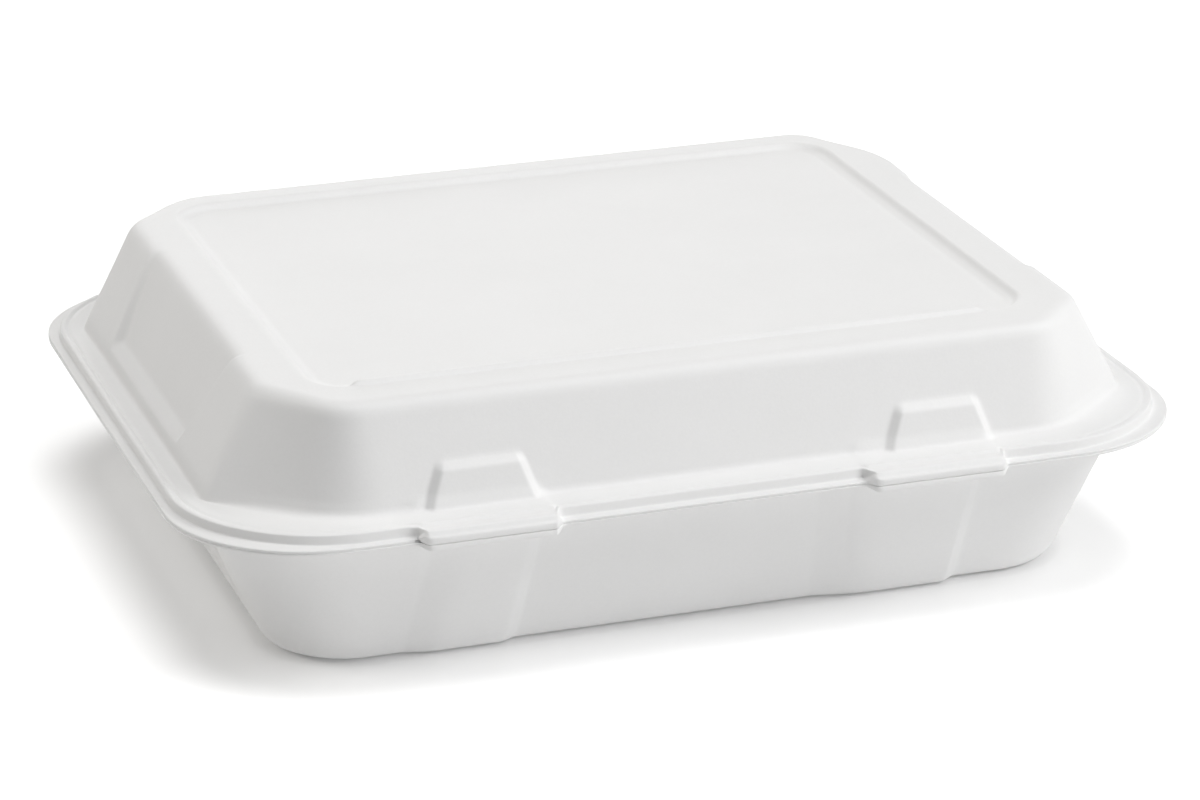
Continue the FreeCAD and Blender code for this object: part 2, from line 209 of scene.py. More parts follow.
def outline(half, front, back, corners, height, lines=FOOT_LINES):
    """One closed outline seen from above, anticlockwise from the left of the front.

    A rectangle of the given half length from front to back, with its corners
    (front right, back right, back left, front left) shaped by legs and trims.
    height is a number or one value for each column; columns follow the lines.
    """
    legs, trims = corners
    places = [np.array(p) for p in ((half, front), (half, back), (-half, back), (-half, front))]
    headings = [np.array(h) for h in ((1.0, 0.0), (0.0, 1.0), (-1.0, 0.0), (0.0, -1.0))]
    paths = []
    for i in range(4):
        leg_in, leg_out = legs[i] if i % 2 == 0 else legs[i][::-1]
        paths.append(
            corner_path(places[i], headings[i], headings[(i + 1) % 4], leg_in, leg_out, trims[i])
        )
    parts = []
    for i in range(4):
        start, end = paths[i - 1][-1], paths[i][0]
        share = side_shares(i, start[i % 2], end[i % 2], lines)
        parts.append(start + (end - start) * share[:, None])
        parts.append(paths[i][:-1])
    flat = np.concatenate(parts)
    return np.column_stack([flat, np.broadcast_to(height, len(flat))])


def by_side(front, end, back=None):
    """One value for each column: the front's, the ends' and the back's, eased round the corners."""
    back = front if back is None else back
    ease = smooth((np.arange(CORNER_COLUMNS) + 0.5) / CORNER_COLUMNS)
    values = (front, end, back, end)
    parts = []
    for i in range(4):
        parts.append(np.full(SIDE_COUNTS[i], float(values[i])))
        parts.append(values[i] + (values[(i + 1) % 4] - values[i]) * ease)
    return np.concatenate(parts)


# ------------------------------------------------------------ swept sheets

# rows round the sheet's edge, the power that squares its half oval, and how many
# rows of the outer face go by for each row of the inner one
EDGE_ROWS = 5
EDGE_POWER = 0.75
INNER_EVERY = 3
# how far eased steps are drawn towards both ends
STEP_PULL = 0.07
# a turn of the sheet starts at most this share of the way to the next station
TRIM_SHARE = 0.45


def eased_steps(count):
    """Even steps from 0 to 1 drawn a little closer at both ends, without the 0."""
    t = np.arange(1, count + 1) / count
    return t - STEP_PULL * np.sin(2.0 * math.pi * t)


def sweep(stations, trims, spans, turn=4):
    """Rows of points from outline to outline.

    Rows run straight from one station to the next, at the fractions in spans, and
    each station in between is turned by the curve of bend(), which starts and ends
    a trim away along the two straights. turn is the number of rows in each curve.
    """
    rows = [stations[0]]
    last = stations[0]
    for k in range(1, len(stations)):
        here = stations[k]
        middle = k < len(stations) - 1
        reach = here
        if middle:
            before = stations[k - 1] - here
            after = stations[k + 1] - here
            length_before = np.linalg.norm(before, axis=1)
            length_after = np.linalg.norm(after, axis=1)
            trim = np.minimum(trims[k], TRIM_SHARE * np.minimum(length_before, length_after))
            reach = here + before * (trim / length_before)[:, None]
            leave = here + after * (trim / length_after)[:, None]
        for t in spans[k - 1]:
            rows.append(last + (reach - last) * t)
        if middle:
            for t in np.arange(1, turn + 1) / turn:
                rows.append((1 - t) ** 2 * reach + 2 * t * (1 - t) * here + t**2 * leave)
            last = leave
    return np.stack(rows)


def face_normals(grid):
    """Unit normals of a grid of closed rows: the steps along the rows, crossed with the steps across."""
    along = np.roll(grid, -1, axis=1) - np.roll(grid, 1, axis=1)
    across = np.gradient(grid, axis=0)
    normal = np.cross(along, across)
    return normal / np.linalg.norm(normal, axis=2, keepdims=True)


def rim_edge(outer, inner, tip):
    """Rows round the sheet's edge, from the inner row to the outer one.

    A half oval: half the thickness high and a tip wide, squared a little by raising
    the cosine and the sine to a power below 1.
    """
    half = 0.5 * (outer[0] - inner[0])
    middle = 0.5 * (outer[0] + inner[0])
    away = outer[0] - outer[1]
    lift = half / np.linalg.norm(half, axis=1, keepdims=True)
    away = away - lift * np.sum(away * lift, axis=1, keepdims=True)
    away = away / np.linalg.norm(away, axis=1, keepdims=True)
    rows = []
    for angle in np.linspace(math.pi, 0.0, EDGE_ROWS + 2)[1:-1]:
        rise = math.copysign(abs(math.cos(angle)) ** EDGE_POWER, math.cos(angle))
        rows.append(middle + half * rise + away * tip * math.sin(angle) ** EDGE_POWER)
    return np.stack(rows)


def middle_patch(ring):
    """Points that fill a closed row, as a grid.

    The row is split at the middles of its corners into four sides, and each point is
    the sum of the two blends between facing sides, less the blend of the four ends.
    The grid has the row as its rim, and its front comes first.
    """
    side = [ring[np.arange(a, b + 1) % len(ring)] for a, b in patch_cuts()]
    low, right, high, left = side[0], side[1], side[2][::-1], side[3][::-1]
    u = np.linspace(0.0, 1.0, len(low))[None, :, None]
    v = np.linspace(0.0, 1.0, len(right))[:, None, None]
    sides = (1 - v) * low[None] + v * high[None] + (1 - u) * left[:, None] + u * right[:, None]
    ends = (1 - u) * (1 - v) * low[0] + u * (1 - v) * low[-1] + (1 - u) * v * high[0] + u * v * high[-1]
    return sides - ends


def patch_cuts():
    """Start and end column of the four sides of a patch: front, right, back, left."""
    first = -CORNER_MIDDLE
    cuts = []
    for count in SIDE_COUNTS:
        last = first + count + CORNER_COLUMNS
        cuts.append((first, last))
        first = last
    return cuts


def patch_indices(ring_start, columns, inside_start, shape):
    """Vertex numbers of a patch: its rim is a row that exists, its inside is new."""
    height, width = shape
    index = np.zeros(shape, dtype=np.int64)
    runs = [ring_start + np.arange(a, b + 1) % columns for a, b in patch_cuts()]
    inside = np.arange((height - 2) * (width - 2)).reshape(height - 2, width - 2)
    index[1:-1, 1:-1] = inside_start + inside
    index[0], index[:, -1], index[-1], index[:, 0] = runs[0], runs[1], runs[2][::-1], runs[3][::-1]
    return index


def quads(index, flip=False):
    """Four-cornered faces between neighbouring numbers of a grid."""
    corners = (index[:-1, :-1], index[:-1, 1:], index[1:, 1:], index[1:, :-1])
    faces = np.stack(corners, axis=-1).reshape(-1, 4)
    return faces[:, ::-1] if flip else faces


def mesh_piece(name, points, faces):
    """A smooth mesh object from points in millimetres and four-cornered faces."""
    mesh = bpy.data.meshes.new(name)
    mesh.vertices.add(len(points))
    mesh.vertices.foreach_set("co", (points * MM).astype(np.float32).ravel())
    mesh.loops.add(faces.size)
    mesh.loops.foreach_set("vertex_index", faces.astype(np.int32).ravel())
    mesh.polygons.add(len(faces))
    mesh.polygons.foreach_set("loop_start", np.arange(0, faces.size, 4, dtype=np.int32))
    mesh.update(calc_edges=True)
    mesh.validate()
    mesh.polygons.foreach_set("use_smooth", np.ones(len(mesh.polygons), dtype=bool))
    piece = bpy.data.objects.new(name, mesh)
    bpy.context.scene.collection.objects.link(piece)
    return piece


def shell(name, outer, side, tip, relief):
    """A closed sheet from the rows of its outer face.

    side is 1 where the outer face looks up and -1 where it looks down. The inner
    face follows every few rows at the wall's thickness, the rim's edge is rounded
    out by the tip, and both middles are filled. relief raises the outer face alone.
    """
    picked = np.unique(np.append(np.arange(0, len(outer), INNER_EVERY), len(outer) - 1))
    inner = (outer - side * WALL * face_normals(outer))[picked]
    outer = outer.copy()
    outer[..., 2] += relief
    rows = np.concatenate([inner[::-1], rim_edge(outer, inner, tip), outer])
    count, columns = rows.shape[:2]
    index = np.arange(count * columns).reshape(count, columns)
    index = np.concatenate([index, index[:, :1]], axis=1)
    faces = [quads(index, side < 0)]
    points = [rows.reshape(-1, 3)]
    total = count * columns
    for row, flip in ((count - 1, side < 0), (0, side > 0)):
        patch = middle_patch(rows[row])
        faces.append(quads(patch_indices(row * columns, columns, total, patch.shape[:2]), flip))
        points.append(patch[1:-1, 1:-1].reshape(-1, 3))
        total += len(points[-1])
    return mesh_piece(name, np.concatenate(points), np.concatenate(faces))


# --------------------------------------------------------------------- lid

# width of the lip, then heights above the mating plane and places along X and Y
LIP = 2.1
LIP_TOP = 0.66
CREST = 2.95
LEDGE = 2.85
END_LEDGE = 2.35
PLINTH_TOP = 5.9
PLINTH_END_DROP = 0.6
# the plinth's top lies this far inside its foot at the ends, the front and the back,
# and its columns this share of the way up to the top's
PLINTH_IN = (1.2, 0.65, 0.45)
PLINTH_SHARE = 0.13
LID_FRONT = -81.0
LID_BACK = 84.5
LID_END = 109.0
TOP_END = 96.0
TOP_FRONT = -75.8
TOP_BACK = 81.0
PANEL_END = 11.6
PANEL_FRONT = 11.1
PANEL_BACK = 8.0
PANEL_SINK = 1.5
PANEL_RADIUS = 11.0
# welt along the front of the panel: its two ends, the length of each, and its rise
WELT = (-76.8, 73.4)
WELT_RUN = 2.2
WELT_RISE = 0.95
# height of the shelf behind a tab
SHELF = 2.95
# end hollows: height of the step at the sill, and over what length it ends at the panel
SILL_HEIGHT = 1.7
HOLLOW_RUN = 8.0
# depth at foot and head, front and back edge at foot and at head, widths of both flanks
LID_HOLLOW = ((2.4, 1.0), (-31.0, 36.0), (-37.5, 41.5), (1.6, 1.8))

# top of a lid tab: places from its edge back to the shelf, and their heights
TAB_PLACES = (-94.33, -93.9, -93.35, -92.6, -90.7, -89.7, -88.8, -87.6, -85.0)
TAB_HEIGHTS = (1.7, 1.95, 2.75, 3.0, 2.68, 2.76, 3.22, 2.98, 2.95)
# where that relief begins, over what stretch, and how soft its ends are
RELIEF_START = -84.5
RELIEF_RUN = 1.5
RELIEF_SOFT = 1.8

# legs along X and Y, then trims, of the corners front right, back right, back left, front left
LID_TOP_CORNERS = (
    [(13.3, 15.3), (12.0, 25.0), (16.2, 17.0), (13.0, 18.8)],
    [(5.0, 5.0), (7.0, 6.0), (7.0, 5.0), (2.6, 7.0)],
)
LID_FOOT_CORNERS = (
    [(24.0, 22.2), (24.0, 26.0), (24.0, 22.0), (25.0, 22.0)],
    [(6.5, 4.0), (6.0, 6.0), (6.0, 4.0), (2.2, 9.0)],
)

# the lid's rim from its edge inwards: inset, corner radius and height of each outline,
# then at the tabs its reach, its height, the soft stretch at both ends and the inset
LID_RIM = (
    ((0.5 * WALL, 33.6, LIP_TOP), (2.65, LIP_TOP, 2.6)),
    ((LIP, 36.0, LIP_TOP + 0.06), (4.0, LIP_TOP + 0.05, 2.2)),
    ((LIP + 0.25, 35.6, CREST - 0.08), (3.65, LIP_TOP + 0.15, 2.2, 1.7)),
    ((LIP + 1.3, 34.8, CREST + 0.02), (3.9, LIP_TOP + 0.3, 2.2, 1.7)),
    ((LIP + 2.0, 34.4, LEDGE - 0.28), (2.9, 1.5, 2.2, 1.7)),
    ((LIP + 2.7, 34.2, LEDGE - 0.02), (2.4, 2.0, 2.2, 1.7)),
    ((6.4, 34.0, by_side(LEDGE, END_LEDGE + 0.2, LEDGE)), (2.2, SHELF, 2.2)),
)
FOOT_TAB = (0.8, SHELF, 3.0)

# the panel from its edge to its floor: how far in from the front, the ends and the
# back each outline lies, and how far under the top along front and back and at the ends
PANEL_STEPS = (
    (0.0, 0.0, 0.0, 0.0, 0.0),
    (1.0, 0.5, 0.7, 0.3, 0.22),
    (1.8, 1.6, 1.6, 1.2, 1.0),
    (4.8, 3.3, 2.3, PANEL_SINK, PANEL_SINK),
    (8.5, 6.5, 6.5, PANEL_SINK, PANEL_SINK),
)

# how far each bend of the lid is eased, from its edge inwards; three values are for
# the front, the ends and the back, and the foot's is less by the cut at the tabs
RIM_BENDS = (0.0, 0.35, 0.35, 0.35, 0.25, 0.4, 1.2)
FOOT_BEND = (3.0, 0.8, 3.0)
FOOT_BEND_CUT = 2.2
PLINTH_BEND = 0.7
TOP_BENDS = ((2.9, 2.8, 3.0), (0.25, 0.6, 1.6), (0.2, 0.25, 0.5), (0.3, 0.6, 0.5), (0.8, 0.5, 0.8))

# rows between neighbouring outlines, from the edge to the plinth, up the wall and inwards
RIM_ROWS = (3, 3, 2, 2, 2, 3, 5, 4)
WALL_ROWS = 31
WALL_BELLS = ((0.29, 0.06, 5.0), (0.04, 0.04, 2.5))
TOP_ROWS = (6, 2, 2, 3, 3)


def tab_mask(points, soft, inset=0.0):
    """1 over each tab and 0 away from it, for points of the front.

    It is eased over a soft stretch at both ends, which lie an inset inside the tab's.
    """
    x, y = points[..., 0], points[..., 1]
    mask = np.zeros_like(x)
    for centre, half in TABS:
        mask = np.maximum(mask, smooth((half - inset + 0.5 * soft - np.abs(x - centre)) / soft))
    return mask * (y < FRONT_PART)


def at_tabs(points, reach, height, soft, inset=0.0):
    """The outline carried forward by a reach at the tabs, and brought to a height there.

    The change of height lies an inset further in from each end.
    """
    moved = points.copy()
    moved[:, 1] -= reach * tab_mask(points, soft)
    moved[:, 2] += (height - moved[:, 2]) * tab_mask(points, soft, inset)
    return moved


def rim_outline(inset, radius, height):
    """The rim's outline drawn in by an inset, with its own corner radius."""
    return outline(
        HALF_LENGTH - inset, inset - HALF_DEPTH, HALF_DEPTH - inset, round_corners(radius), height
    )


def end_hollow(grid, low, sill, high, depths, foot_edges, head_edges, flanks):
    """How far along X the middle of both end walls is pressed in.

    The depth runs evenly from foot to head. It is times a step up across the sill,
    times two steps across the flanks, which lean apart from foot to head.
    """
    x, y, z = grid[..., 0], grid[..., 1], grid[..., 2]
    rise = (z - low) / (high - low)
    front = foot_edges[0] + (head_edges[0] - foot_edges[0]) * rise
    back = foot_edges[1] + (head_edges[1] - foot_edges[1]) * rise
    mask = ramp((y - front) / flanks[0]) * ramp((back - y) / flanks[1])
    depth = depths[0] + (depths[1] - depths[0]) * rise
    return np.sign(x) * (depth * mask * ramp((z - sill) / SILL_HEIGHT))


def panel_rows():
    """Outlines from the panel's edge to its floor.

    The panel is sunk. Along its front a low welt stands up first, facing forward,
    and falls to the floor behind.
    """
    rows = []
    for front, end, back, low_front, low_end in PANEL_STEPS:
        rows.append(
            outline(
                TOP_END - PANEL_END - end, TOP_FRONT + PANEL_FRONT + front, TOP_BACK - PANEL_BACK - back,
                round_corners(PANEL_RADIUS - end), CROWN - by_side(low_front, low_end), HEAD_LINES,
            )
        )
    for row in rows[1:3]:
        x = row[:, 0]
        welt = ramp((x - WELT[0]) / WELT_RUN) * ramp((WELT[1] - x) / WELT_RUN) * (row[:, 1] < FRONT_PART)
        row[:, 2] += (CROWN + WELT_RISE - row[:, 2]) * welt
    return rows


def lid_rows():
    """Rows of the lid's outer face, from the edge of the lip to inside the panel."""
    sill = PLINTH_TOP - PLINTH_END_DROP
    foot = outline(LID_END, LID_FRONT, LID_BACK, LID_FOOT_CORNERS, by_side(LEDGE, END_LEDGE, LEDGE))
    plinth = outline(
        LID_END - PLINTH_IN[0], LID_FRONT + PLINTH_IN[1], LID_BACK - PLINTH_IN[2], LID_FOOT_CORNERS,
        by_side(PLINTH_TOP, sill, PLINTH_TOP), lines_at(PLINTH_SHARE),
    )
    top = outline(TOP_END, TOP_FRONT, TOP_BACK, LID_TOP_CORNERS, CROWN, HEAD_LINES)
    stations = [at_tabs(rim_outline(*rim), *tab) for rim, tab in LID_RIM]
    stations += [at_tabs(foot, *FOOT_TAB), plinth, top, *panel_rows()]
    at_tab = FOOT_BEND[0] - FOOT_BEND_CUT * tab_mask(foot, FOOT_TAB[2])
    foot_bend = np.minimum(by_side(*FOOT_BEND), at_tab)
    trims = [*RIM_BENDS, foot_bend, PLINTH_BEND, *(by_side(*ease) for ease in TOP_BENDS), 0.0]
    spans = [eased_steps(count) for count in RIM_ROWS]
    spans.append(spread(0.0, 1.0, WALL_ROWS, WALL_BELLS)[1:])
    spans += [eased_steps(count) for count in TOP_ROWS]
    grid = press_bosses(sweep(stations, trims, spans))
    inward = np.abs(grid[..., 0]) - (TOP_END - PANEL_END)
    grid[..., 0] -= end_hollow(grid, PLINTH_TOP, sill, CROWN, *LID_HOLLOW) * smooth(inward / HOLLOW_RUN)
    return grid


def press_bosses(grid):
    """Pushes the two bosses out of the front wall.

    The reach is times a step across each flank, which leans in from foot to head,
    times a step down across the bevel under the boss's top.
    """
    x, y, z = grid[..., 0], grid[..., 1], grid[..., 2]
    half = BOSS_FOOT + (BOSS_HEAD - BOSS_FOOT) * (z - BOSS_LOW) / (BOSS_TOP - BOSS_LOW)
    push = np.zeros_like(x)
    for centre in BOSSES:
        across = ramp((half - np.abs(x - centre)) / BOSS_FLANK)
        up = ramp((BOSS_TOP - z) / BOSS_BEVEL)
        push = np.maximum(push, across * up)
    on_wall = smooth((y - LID_FRONT + BOSS_START) / BOSS_START_RUN) * (y < FRONT_PART)
    moved = grid.copy()
    moved[..., 1] -= BOSS_REACH * push * on_wall
    return moved


def make_lid():
    """The lid, standing on the mating plane."""
    grid = lid_rows()
    tops = np.interp(grid[..., 1], TAB_PLACES, TAB_HEIGHTS)
    fade = smooth((RELIEF_START - grid[..., 1]) / RELIEF_RUN)
    relief = tab_mask(grid, RELIEF_SOFT) * fade * (tops - grid[..., 2])
    grid[..., 2] += MATE
    return shell("takeout_lid", grid, 1, LID_TIP, relief)


# --------------------------------------------------------------------- tray

# height of the rim's underside, and of the seat over it
UNDER = MATE - WALL
SEAT = 1.35
# how far a catch tab hangs at its edge, and how soft its ends are
TAB_HANG = 0.8
HANG_SOFT = 3.0
MOUTH_END = 108.5
MOUTH_FRONT = -83.0
MOUTH_BACK = 84.5
MOUTH_RADIUS = 27.0
FLOOR_END = 94.0
FLOOR_FRONT = -69.5
FLOOR_BACK = 75.0
FLOOR_RADIUS = 19.0
# the last outline of the floor lies this far inside its edge
FLOOR_INSET = 9.0
FLOOR_INNER_RADIUS = 12.0

# the tray's rim from its edge inwards, as for the lid
TRAY_RIM = (
    ((0.5 * WALL, 33.6, UNDER), (2.6, UNDER - 0.02, 2.6)),
    ((LIP + 1.9, 33.0, UNDER), (1.8, UNDER - 0.02, 3.2)),
    ((LIP + 2.5, 32.6, UNDER + SEAT), (1.6, UNDER + 0.1, 3.2)),
)
MOUTH_TAB = (0.0, UNDER + 0.1, 3.2)
TRAY_BENDS = (0.0, 0.3, 0.4, 1.2, 3.2, 0.0)
TRAY_ROWS = (3, 2, 4, 34, 4)
TRAY_TURN = 6
TRAY_HOLLOW = ((2.0, 2.0), (-35.0, 38.0), (-39.0, 42.0), (2.4, 2.8))
TRAY_SILL = 5.0
# how far under the rim the hollow's head is, and how far under it the hollow is gone,
# after it fades over a stretch
TRAY_HOLLOW_HEAD = 4.0
TRAY_HOLLOW_FADE = (3.0, 2.0)

# piers of the front wall: left and right edge at the rim, then at the floor, widths
# of the two flanks, and how far the pier stands out
PIERS = (
    ((-62.4, -37.9), (-68.0, -41.7), (7.0, 3.2), 1.7),
    ((25.6, 65.2), (28.8, 63.3), (11.0, 3.2), 2.3),
)
# how soft the bends of a pier's left flank are
PIER_SOFT = 0.1
# how far under the rim, and behind the floor's front edge, a pier is gone, and over
# what stretch it fades
PIER_RIM_FADE = (0.9, 1.6)
PIER_FLOOR_FADE = (10.0, 6.0)


def press_piers(grid):
    """Pushes the two shallow piers out of the front wall, down over its foot.

    The reach is times a step across each flank, whose place leans from rim to floor,
    times a fade under the rim and another along the floor.
    """
    x, y, z = grid[..., 0], grid[..., 1], grid[..., 2]
    rise = np.clip(z / MATE, 0.0, 1.0)
    push = np.zeros_like(x)
    for rim, floor, flanks, reach in PIERS:
        left = floor[0] + (rim[0] - floor[0]) * rise
        right = floor[1] + (rim[1] - floor[1]) * rise
        step = ramp((x - left) / flanks[0], PIER_SOFT) * ramp((right - x) / flanks[1])
        push = np.maximum(push, reach * step)
    floor_fade = smooth((FLOOR_FRONT + PIER_FLOOR_FADE[0] - y) / PIER_FLOOR_FADE[1])
    rim_fade = smooth((MATE - PIER_RIM_FADE[0] - z) / PIER_RIM_FADE[1])
    moved = grid.copy()
    moved[..., 1] -= push * (floor_fade * rim_fade)
    return moved


def tray_rows():
    """Rows of the tray's outer face, from the edge of the lip, under the rim and down to the floor."""
    mouth = outline(
        MOUTH_END, MOUTH_FRONT, MOUTH_BACK, round_corners(MOUTH_RADIUS), UNDER + SEAT, PIER_RIM_LINES
    )
    stations = [at_tabs(rim_outline(*rim), *tab) for rim, tab in TRAY_RIM]
    stations.append(at_tabs(mouth, *MOUTH_TAB))
    for inset, radius in ((0.0, FLOOR_RADIUS), (FLOOR_INSET, FLOOR_INNER_RADIUS)):
        stations.append(
            outline(
                FLOOR_END - inset, FLOOR_FRONT + inset, FLOOR_BACK - inset,
                round_corners(radius), 0.0, PIER_FLOOR_LINES,
            )
        )
    grid = press_piers(sweep(stations, TRAY_BENDS, [eased_steps(count) for count in TRAY_ROWS], TRAY_TURN))
    fade = smooth((MATE - TRAY_HOLLOW_FADE[0] - grid[..., 2]) / TRAY_HOLLOW_FADE[1])
    grid[..., 0] -= end_hollow(grid, 0.0, TRAY_SILL, MATE - TRAY_HOLLOW_HEAD, *TRAY_HOLLOW) * fade
    return grid


def make_tray():
    """The base tray, standing on the ground. Its catch tabs hang lower towards their edge."""
    grid = tray_rows()
    hanging = TRAY_ROWS[0] + 1
    relief = np.zeros(grid.shape[:2])
    relief[:hanging] = -TAB_HANG * np.linspace(1.0, 0.0, hanging)[:, None] * tab_mask(grid[0], HANG_SOFT)
    return shell("takeout_tray", grid, -1, TRAY_TIP, relief)


# ------------------------------------------------------------------- crease

CREASE_COLUMNS = 61
CREASE_TURNS = 9
CREASE_OUTER = 0.62
CREASE_INNER = 0.34
# the crease ends this far short of both ends of the rim
CREASE_SHORT = 34.0


def make_crease():
    """The fold that joins both rims along the back.

    Two half circles of an outer and an inner radius, carried along the rim.
    """
    turn = np.linspace(-1.0, 1.0, CREASE_TURNS) * 0.5 * math.pi
    arcs = []
    for radius in (CREASE_OUTER, CREASE_INNER):
        y = HALF_DEPTH - CREASE_INNER + radius * np.cos(turn)
        z = MATE + radius * np.sin(turn)
        arcs.append(np.stack([y, z], axis=-1))
    loop = np.concatenate([arcs[0], arcs[1][::-1]])
    shape = (len(loop), CREASE_COLUMNS)
    along = (HALF_LENGTH - CREASE_SHORT) * np.linspace(-1.0, 1.0, CREASE_COLUMNS)
    x = np.broadcast_to(along, shape)
    y, z = (np.broadcast_to(loop[:, axis, None], shape) for axis in (0, 1))
    index = np.arange(x.size).reshape(shape)
    index = np.concatenate([index, index[:1]])
    return mesh_piece("crease", np.stack([x, y, z], axis=-1).reshape(-1, 3), quads(index, True))


# ---------------------------------------------------------------- materials

# noise scales, in waves to the metre: fibres, the pits between them, and both mottles
FIBRE_SCALE = 1900.0
PIT_SCALE = 850.0
SLOW_MOTTLE_SCALE = 45.0
FINE_MOTTLE_SCALE = 1500.0
# two ways that fibres lie: turn about the upright in radians, and how far they are drawn out
FIBRE_LAYERS = ((0.6, (1.0, 0.28, 1.0)), (-0.7, (0.3, 1.0, 1.0)))
# share of that turn about X and about Y
FIBRE_TILT = (0.3, 0.4)
# levels of detail of the fibres and the fine mottle, and of the pits and the slow one
FIBRE_DETAIL = 2.0
PIT_DETAIL = 3.0
NOISE_ROUGHNESS = 0.55
NOISE_MEAN = 0.5
PULP_DARK = (0.833, 0.832, 0.829, 1.0)
PULP_LIGHT = (0.863, 0.862, 0.859, 1.0)
# the mottle and the height run about this far to both sides of 0
MOTTLE_SPAN = 0.45
HEIGHT_SPAN = 0.5
ROUGHNESS = (0.46, 0.58)
BUMP_STRENGTH = 0.3
BUMP_HEIGHT = 0.00004


def new_group(name, inputs, outputs):
    """An empty shader node group with its sockets and its two ends."""
    group = bpy.data.node_groups.new(name, "ShaderNodeTree")
    for kind, label, value in inputs:
        socket = group.interface.new_socket(name=label, in_out="INPUT", socket_type=kind)
        if value is not None:
            socket.default_value = value
    for kind, label in outputs:
        group.interface.new_socket(name=label, in_out="OUTPUT", socket_type=kind)
    return group, group.nodes.new("NodeGroupInput"), group.nodes.new("NodeGroupOutput")


def math_node(tree, operation, first, second):
    """A Math node; each side is a socket or a number."""
    node = tree.nodes.new("ShaderNodeMath")
    node.operation = operation
    for socket, value in zip(node.inputs, (first, second)):
        if isinstance(value, (int, float)):
            socket.default_value = value
        else:
            tree.links.new(value, socket)
    return node.outputs[0]


def noise_node(tree, vector, scale, detail):
    """A Noise Texture read at a vector; gives values about 0.5."""
    node = tree.nodes.new("ShaderNodeTexNoise")
    node.inputs["Scale"].default_value = scale
    node.inputs["Detail"].default_value = detail
    node.inputs["Roughness"].default_value = NOISE_ROUGHNESS
    tree.links.new(vector, node.inputs["Vector"])
    return node.outputs["Fac"]


def fibre_felt():
    """Group: the felted look of pressed fibre. Gives a height and a mottle, both about 0.

    The height is two layers of drawn-out noise and one of round pits, added up; the
    mottle is a slow and a fine noise, added up.
    """
    group, ends_in, ends_out = new_group(
        "fibre felt",
        [("NodeSocketVector", "Place", None)],
        [("NodeSocketFloat", "Height"), ("NodeSocketFloat", "Mottle")],
    )
    place = ends_in.outputs["Place"]
    stretched = []
    for turn, size in FIBRE_LAYERS:
        mapping = group.nodes.new("ShaderNodeMapping")
        mapping.inputs["Rotation"].default_value = (FIBRE_TILT[0] * turn, FIBRE_TILT[1] * turn, turn)
        mapping.inputs["Scale"].default_value = size
        group.links.new(place, mapping.inputs["Vector"])
        stretched.append(noise_node(group, mapping.outputs["Vector"], FIBRE_SCALE, FIBRE_DETAIL))
    fibres = math_node(group, "ADD", stretched[0], stretched[1])
    pits = noise_node(group, place, PIT_SCALE, PIT_DETAIL)
    height = math_node(group, "ADD", fibres, pits)
    group.links.new(math_node(group, "SUBTRACT", height, 3 * NOISE_MEAN), ends_out.inputs["Height"])
    slow = noise_node(group, place, SLOW_MOTTLE_SCALE, PIT_DETAIL)
    fine = noise_node(group, place, FINE_MOTTLE_SCALE, FIBRE_DETAIL)
    mottle = math_node(group, "ADD", slow, fine)
    group.links.new(math_node(group, "SUBTRACT", mottle, 2 * NOISE_MEAN), ends_out.inputs["Mottle"])
    return group


FELT = fibre_felt()


def pulp(name):
    """Matte white moulded pulp: felted relief, with a faint mottle between two near whites."""
    material = bpy.data.materials.new(name)
    material.use_nodes = True
    tree = material.node_tree
    shader = tree.nodes["Principled BSDF"]
    shader.inputs["Specular IOR Level"].default_value = 0.5
    coordinates = tree.nodes.new("ShaderNodeTexCoord")
    felt = tree.nodes.new("ShaderNodeGroup")
    felt.node_tree = FELT
    tree.links.new(coordinates.outputs["Object"], felt.inputs["Place"])
    tint = tree.nodes.new("ShaderNodeMapRange")
    tint.inputs["From Min"].default_value = -MOTTLE_SPAN
    tint.inputs["From Max"].default_value = MOTTLE_SPAN
    tree.links.new(felt.outputs["Mottle"], tint.inputs["Value"])
    colour = tree.nodes.new("ShaderNodeMix")
    colour.data_type = "RGBA"
    colour.inputs["A"].default_value = PULP_DARK
    colour.inputs["B"].default_value = PULP_LIGHT
    tree.links.new(tint.outputs["Result"], colour.inputs["Factor"])
    tree.links.new(colour.outputs["Result"], shader.inputs["Base Color"])
    rough = tree.nodes.new("ShaderNodeMapRange")
    rough.inputs["From Min"].default_value = -HEIGHT_SPAN
    rough.inputs["From Max"].default_value = HEIGHT_SPAN
    rough.inputs["To Min"].default_value = ROUGHNESS[0]
    rough.inputs["To Max"].default_value = ROUGHNESS[1]
    tree.links.new(felt.outputs["Height"], rough.inputs["Value"])
    tree.links.new(rough.outputs["Result"], shader.inputs["Roughness"])
    bump = tree.nodes.new("ShaderNodeBump")
    bump.inputs["Strength"].default_value = BUMP_STRENGTH
    bump.inputs["Distance"].default_value = BUMP_HEIGHT
    tree.links.new(felt.outputs["Height"], bump.inputs["Height"])
    tree.links.new(bump.outputs["Normal"], shader.inputs["Normal"])
    return material


def by_ray(tree, seen, cast):
    """A strength that is one value when seen, directly or in gloss or glass, and another as soft light."""
    path = tree.nodes.new("ShaderNodeLightPath")
    gloss = math_node(tree, "MAXIMUM", path.outputs["Is Glossy Ray"], path.outputs["Is Transmission Ray"])
    direct = math_node(tree, "MAXIMUM", path.outputs["Is Camera Ray"], gloss)
    other = math_node(tree, "SUBTRACT", 1.0, direct)
    seen_part = math_node(tree, "MULTIPLY", direct, seen)
    return math_node(tree, "ADD", seen_part, math_node(tree, "MULTIPLY", other, cast))


